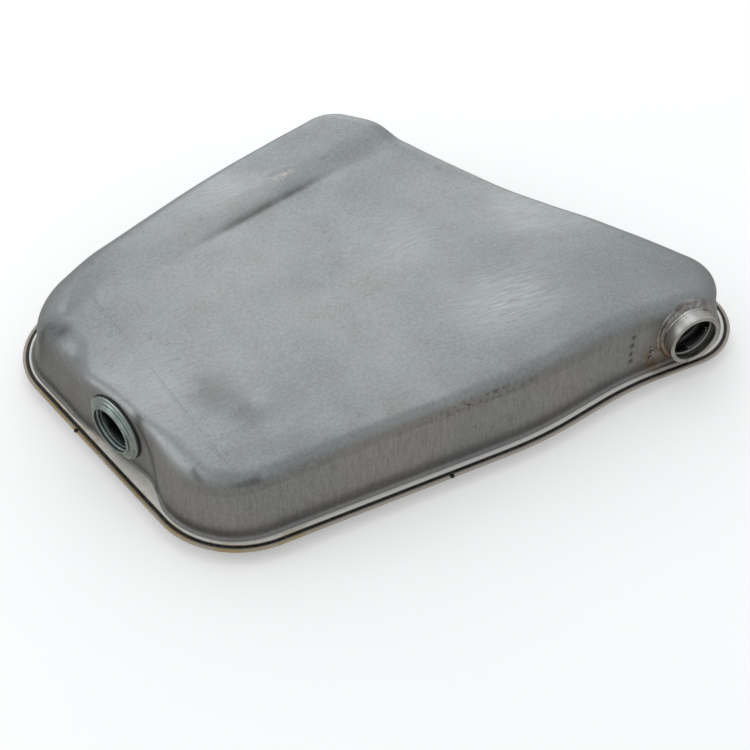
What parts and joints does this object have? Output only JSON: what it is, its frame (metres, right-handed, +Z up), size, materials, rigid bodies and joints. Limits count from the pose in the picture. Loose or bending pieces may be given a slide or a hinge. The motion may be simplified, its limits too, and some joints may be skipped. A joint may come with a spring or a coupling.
{
  "type": "motorcycle fuel tank",
  "caption": "Low wedge-shaped pressed-steel fuel tank with a seam-welded flange, a plated bayonet port in one end and a welded neck in the long side.",
  "frame": {"origin": "centre of the bounding box in plan, on the flat base of the shallow lower shell", "axes": "+X along the long near side towards the end with the neck, +Y from the near side to the back, +Z up out of the deep shell"},
  "size_m": [0.5424, 0.4022, 0.0858],
  "materials": {
    "raw_steel": "bare drawn sheet steel, satin, with cold-drawn marks and light oxide",
    "seam_steel": "dark roller-weld track",
    "weld_metal": "rippled weld metal with heat tint",
    "machined_steel": "turned bright steel",
    "zinc_plated": "blue passivated zinc plating, satin",
    "rubber": "matt black seal"
  },
  "bodies": {
    "root": {"upper_shell": "raw_steel", "lower_shell": "raw_steel", "seam_weld_upper": "seam_steel", "seam_weld_lower": "seam_steel", "seam_bead_left": "seam_steel", "seam_bead_near": "seam_steel", "port_gasket": "rubber", "port_flange": "zinc_plated", "port_sleeve": "zinc_plated", "port_clamp_ring": "zinc_plated", "port_lug_lower": "zinc_plated", "port_lug_upper": "zinc_plated", "neck_tube": "machined_steel", "neck_lug_right": "machined_steel", "neck_lug_left": "machined_steel", "neck_stop_ring": "machined_steel", "neck_weld_inner": "weld_metal", "neck_weld_outer": "weld_metal", "neck_spatter_1": "weld_metal", "neck_spatter_2": "weld_metal", "neck_spatter_3": "weld_metal"}
  },
  "joints": []
}
